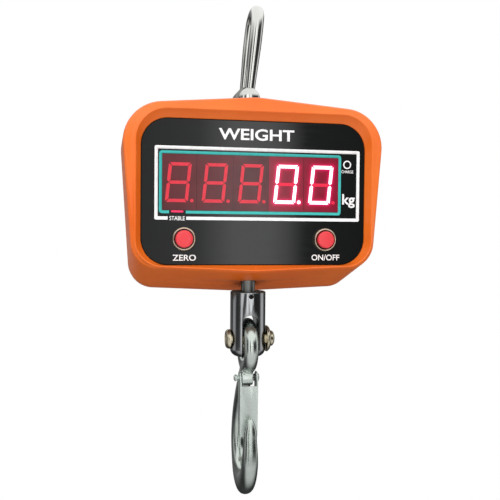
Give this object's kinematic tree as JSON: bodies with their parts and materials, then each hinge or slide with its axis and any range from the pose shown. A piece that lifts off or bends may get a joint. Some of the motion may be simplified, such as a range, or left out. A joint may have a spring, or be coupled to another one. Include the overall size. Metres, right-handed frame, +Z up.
{
  "type": "hanging crane scale",
  "caption": "Hanging digital crane scale: orange cast housing with a lit display and push buttons, carried by a shackle, with a clevis, eye hook and sprung safety latch below.",
  "frame": {"origin": "inner bearing point of the shackle's crown, where the scale hangs", "axes": "+Z up, +X to the reader's right, -Y towards the reader of the display"},
  "size_m": [0.1982, 0.08, 0.3898],
  "materials": {
    "orange_paint": "semi-gloss orange powder coat on cast aluminium",
    "panel_acrylic": "gloss black printed acrylic",
    "polished_steel": "polished steel",
    "chrome_plate": "chrome plated, fine scratches",
    "zinc_plate": "satin zinc plate",
    "nickel_plate": "warm nickel plate",
    "button_red": "glossy red plastic",
    "button_ring": "plated ring",
    "black_plastic": "black plastic",
    "cable_red": "red insulated lead",
    "rubber_seal": "black rubber",
    "circuit_board": "green solder mask",
    "battery_wrap": "blue shrink wrap",
    "load_cell_steel": "machined alloy steel",
    "black_oxide": "black oxide",
    "spring_steel": "spring wire",
    "led_lens": "epoxy lens",
    "display_red": "red seven-segment face",
    "screw_zinc": "zinc plated screw"
  },
  "bodies": {
    "shackle": {"shackle_bow": "polished_steel", "shackle_nut": "zinc_plate", "shackle_pin": "polished_steel", "shackle_washer": "zinc_plate"},
    "scale_body": {"battery": "battery_wrap", "battery_cable": "cable_red", "battery_strap": "zinc_plate", "board_screw_1": "screw_zinc", "board_screw_2": "screw_zinc", "bracket_screw_1": "screw_zinc", "bracket_screw_2": "screw_zinc", "cell_bracket": "zinc_plate", "cell_cable": "black_plastic", "cell_screw_1": "screw_zinc", "cell_screw_2": "screw_zinc", "charge_led": "led_lens", "charging_jack": "black_plastic", "clevis": "chrome_plate", "clevis_lock_screw": "black_oxide", "clevis_pin": "nickel_plate", "clevis_pin_nut": "nickel_plate", "cover_screw_1": "screw_zinc", "cover_screw_2": "screw_zinc", "cover_screw_3": "screw_zinc", "cover_screw_4": "screw_zinc", "cover_screw_5": "screw_zinc", "cover_screw_6": "screw_zinc", "digit_module_1": "display_red", "digit_module_2": "display_red", "digit_module_3": "display_red", "digit_module_4": "display_red", "digit_module_5": "display_red", "display_board": "circuit_board", "display_cable": "black_plastic", "display_screw_1": "screw_zinc", "display_screw_2": "screw_zinc", "front_panel": "panel_acrylic", "front_shell": "orange_paint", "jack_nut": "zinc_plate", "load_cell": "load_cell_steel", "lug_seal": "rubber_seal", "main_board": "circuit_board", "rear_cover": "orange_paint", "shell_gasket": "rubber_seal", "stable_led": "led_lens", "strap_screw_1": "screw_zinc", "strap_screw_2": "screw_zinc", "switch_button_barrel": "black_plastic", "switch_button_nut": "zinc_plate", "switch_button_ring": "button_ring", "zero_button_barrel": "black_plastic", "zero_button_nut": "zinc_plate", "zero_button_ring": "button_ring"},
    "hook": {"hook": "zinc_plate", "latch_pin": "zinc_plate", "latch_spring": "spring_steel"},
    "latch": {"latch": "zinc_plate"},
    "zero_button": {"zero_button_cap": "button_red"},
    "switch_button": {"switch_button_cap": "button_red"}
  },
  "joints": [
    {"name": "shackle_swing", "type": "hinge", "parent": "shackle", "child": "scale_body", "pos_m": [-0.00679, 0, -0.06464], "axis": [0, 1, 0], "range_deg": [-65, 65]},
    {"name": "hook_swing", "type": "hinge", "parent": "scale_body", "child": "hook", "pos_m": [-0.00379, 0, -0.25204], "axis": [1, 0, 0], "range_deg": [-60, 60]},
    {"name": "latch_open", "type": "hinge", "parent": "hook", "child": "latch", "pos_m": [-0.00379, -0.003, -0.28254], "axis": [1, 0, 0], "range_deg": [0, 40], "stiffness_Nm_per_rad": 0.05, "springref_deg": -22.92},
    {"name": "zero_button_press", "type": "slide", "parent": "scale_body", "child": "zero_button", "axis": [0, 1, 0], "range_m": [0, 0.0015], "stiffness_N_per_m": 800, "springref_m": -0.001},
    {"name": "switch_button_press", "type": "slide", "parent": "scale_body", "child": "switch_button", "axis": [0, 1, 0], "range_m": [0, 0.0015], "stiffness_N_per_m": 800, "springref_m": -0.001}
  ]
}
